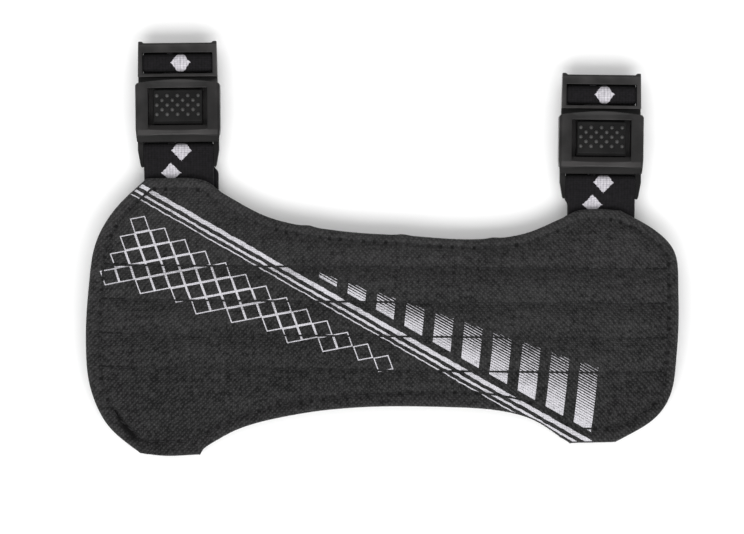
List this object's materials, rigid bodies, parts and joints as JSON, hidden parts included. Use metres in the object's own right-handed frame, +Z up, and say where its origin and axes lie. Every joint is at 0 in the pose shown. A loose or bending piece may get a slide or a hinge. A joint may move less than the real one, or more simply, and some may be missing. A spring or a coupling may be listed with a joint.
{
  "type": "arm guard",
  "caption": "Padded cloth forearm guard for archery, an hourglass pad with sewn stay channels and elastic straps that run behind it and close in push-button buckles.",
  "frame": {"origin": "middle of the part's box in plan, on the floor that it lies on", "axes": "+X along the forearm from the wide elbow end to the wrist end, +Y from the pad towards the buckles, +Z up out of the pad's face"},
  "size_m": [0.1776, 0.125, 0.0129],
  "materials": {
    "pad_fabric": "matt woven nylon, charcoal black, with a pale printed stripe",
    "strap_elastic": "matt woven elastic, black, with a pale woven pattern",
    "buckle_plastic": "satin moulded plastic, dark grey"
  },
  "bodies": {
    "root": {"pad": "pad_fabric", "strap_left": "strap_elastic", "strap_right": "strap_elastic", "strap_tab_left": "strap_elastic", "strap_tab_right": "strap_elastic", "buckle_socket_left": "buckle_plastic", "buckle_socket_right": "buckle_plastic", "buckle_plug_left": "buckle_plastic", "buckle_plug_right": "buckle_plastic"}
  },
  "joints": []
}
